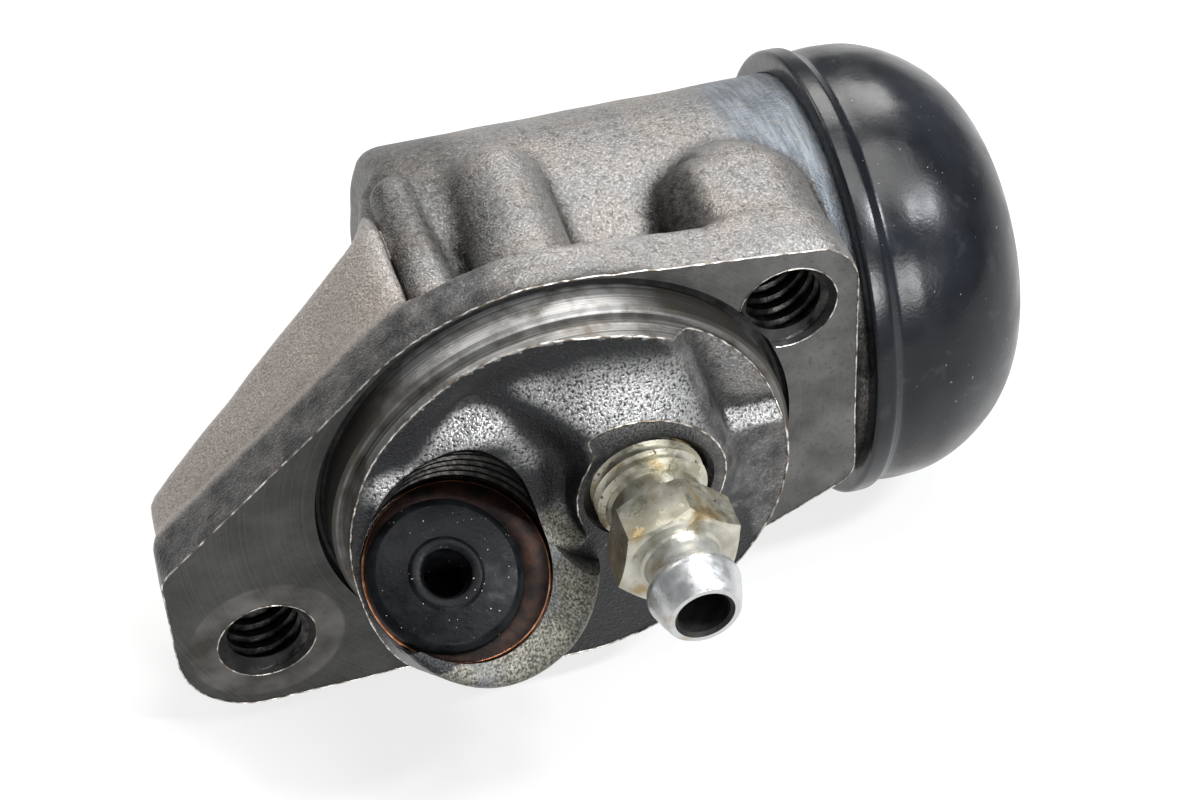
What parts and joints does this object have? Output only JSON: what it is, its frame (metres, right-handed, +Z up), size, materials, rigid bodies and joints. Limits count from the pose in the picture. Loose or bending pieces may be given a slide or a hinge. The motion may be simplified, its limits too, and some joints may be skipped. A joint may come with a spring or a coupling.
{
  "type": "wheel cylinder",
  "caption": "Single-ended hydraulic drum-brake wheel cylinder: flanged iron casting with angled inlet port, bleed screw, sprung piston and rubber boot.",
  "frame": {"origin": "centre of the locating spigot, on the machined flange face", "axes": "+X along the bore towards the boot, -Y out of the flange face, +Z up"},
  "size_m": [0.0798, 0.0621, 0.0441],
  "materials": {
    "cast_body": "as cast, machined on the flange face and spigot",
    "piston_metal": "turned",
    "seal_rubber": "smooth",
    "spring_seat": "pressed",
    "spring_steel": "drawn wire",
    "boot_rubber": "satin moulded",
    "plated_steel": "zinc plated",
    "copper": "dull copper",
    "plug_rubber": "matt"
  },
  "bodies": {
    "cylinder": {"housing": "cast_body", "dust_boot": "boot_rubber", "inlet_gasket": "copper", "transit_plug": "plug_rubber", "return_spring": "spring_steel"},
    "piston": {"piston": "piston_metal", "piston_cup": "seal_rubber", "cup_expander": "spring_seat"},
    "bleeder": {"bleeder_screw": "plated_steel"}
  },
  "joints": [
    {"name": "piston_slide", "type": "slide", "parent": "cylinder", "child": "piston", "axis": [1, 0, 0], "range_m": [-0.004, 0.01], "deforming": ["return_spring"]},
    {"name": "bleeder_turn", "type": "hinge", "parent": "cylinder", "child": "bleeder", "pos_m": [0.0056, 0, 0.0037], "axis": [0, -1, 0], "range_deg": [0, 270]}
  ]
}
